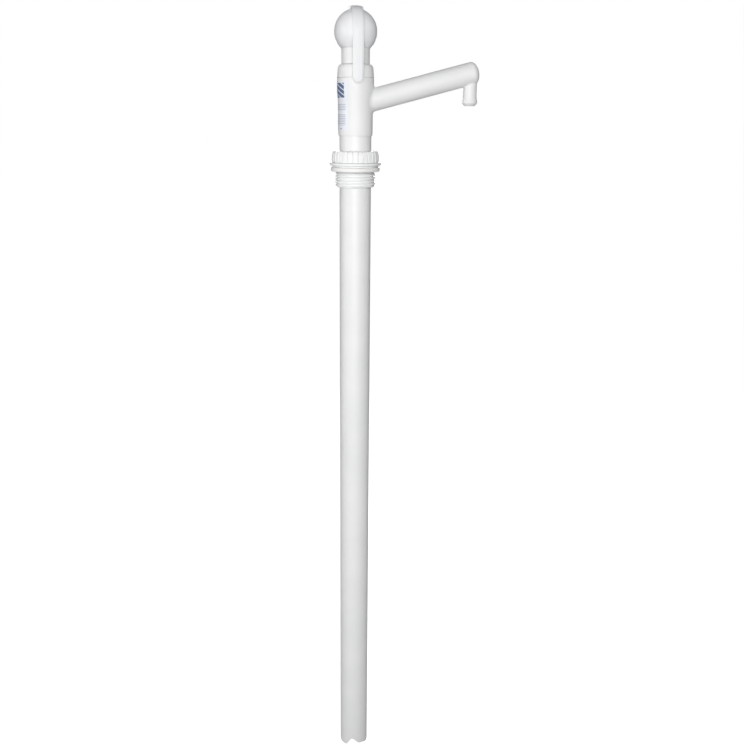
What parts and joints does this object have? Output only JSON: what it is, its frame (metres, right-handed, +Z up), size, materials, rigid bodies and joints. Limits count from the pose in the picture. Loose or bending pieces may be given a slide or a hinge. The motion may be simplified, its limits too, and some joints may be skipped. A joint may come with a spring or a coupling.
{
  "type": "drum lift pump",
  "caption": "Hand-operated lift pump with a ball grip on a long plunger, an angled side spout and a suction tube that slides and turns in a threaded bung adaptor.",
  "frame": {"origin": "on the suction tube's axis, at the underside of the bung gasket, where the pump sits on a drum or deck bung", "axes": "+Z up along the tube towards the ball grip, +X along the spout, -Y towards the latch strap"},
  "size_m": [0.2278, 0.0782, 1.2617],
  "materials": {
    "white_moulding": "semi-gloss white moulded plastic",
    "white_pipe": "semi-gloss extruded white pipe",
    "white_seal": "matt soft white gasket",
    "dark_seal": "matt black rubber",
    "steel_pin": "stainless pin",
    "label_sheet": null
  },
  "bodies": {
    "bung": {"bung_adaptor": "white_moulding", "bung_gasket": "white_seal"},
    "nut_carrier": {"thrust_washer": "white_moulding"},
    "nut": {"compression_nut": "white_moulding"},
    "swivel_seal": {"clamp_seal": "dark_seal"},
    "barrel": {"suction_tube": "white_pipe", "tube_foot": "white_pipe", "pump_body": "white_moulding", "gland_cap": "white_moulding", "guide_bush": "white_moulding", "wiper_seal": "dark_seal", "tube_end_seal": "dark_seal", "spout_arm": "white_moulding", "outlet_nozzle": "white_moulding", "body_label": "label_sheet", "foot_valve_seat": "white_moulding", "foot_valve_cage": "white_moulding"},
    "piston_seal": {"piston_cup": "dark_seal"},
    "plunger": {"ball_grip": "white_moulding", "grip_neck": "white_moulding", "piston_rod": "white_pipe", "strap_pin": "steel_pin", "rod_end_fitting": "white_moulding", "piston_disc": "white_moulding", "piston_nut": "white_moulding"},
    "strap": {"latch_strap": "white_moulding"},
    "piston_valve": {"piston_valve_disc": "dark_seal"},
    "foot_valve": {"foot_valve_ball": "dark_seal"}
  },
  "joints": [
    {"name": "washer_travel", "type": "slide", "parent": "bung", "child": "nut_carrier", "axis": [0, 0, 1], "range_m": [0, 0.006]},
    {"name": "nut_turn", "type": "hinge", "parent": "nut_carrier", "child": "nut", "pos_m": [0, 0, 0.0135], "axis": [0, 0, 1], "range_deg": [0, 720]},
    {"name": "barrel_swivel", "type": "hinge", "parent": "bung", "child": "swivel_seal", "pos_m": [0, 0, 0.017], "axis": [0, 0, 1], "continuous": true},
    {"name": "depth_slide", "type": "slide", "parent": "swivel_seal", "child": "barrel", "axis": [0, 0, 1], "range_m": [-0.012, 0.95]},
    {"name": "plunger_lift", "type": "slide", "parent": "barrel", "child": "piston_seal", "axis": [0, 0, 1], "range_m": [0, 0.957]},
    {"name": "plunger_turn", "type": "hinge", "parent": "piston_seal", "child": "plunger", "pos_m": [0, 0, 0.155], "axis": [0, 0, 1], "continuous": true},
    {"name": "strap_hinge", "type": "hinge", "parent": "plunger", "child": "strap", "pos_m": [0, -0.003, 0.2338], "axis": [-1, 0, 0], "range_deg": [0, 100]},
    {"name": "piston_valve_lift", "type": "slide", "parent": "plunger", "child": "piston_valve", "axis": [0, 0, 1], "range_m": [0, 0.005]},
    {"name": "foot_valve_lift", "type": "slide", "parent": "barrel", "child": "foot_valve", "axis": [0, 0, 1], "range_m": [0, 0.006]}
  ],
  "couplings": [
    {"joint": "washer_travel", "follows": "nut_turn", "m_per_rad": 0.00047746}
  ]
}
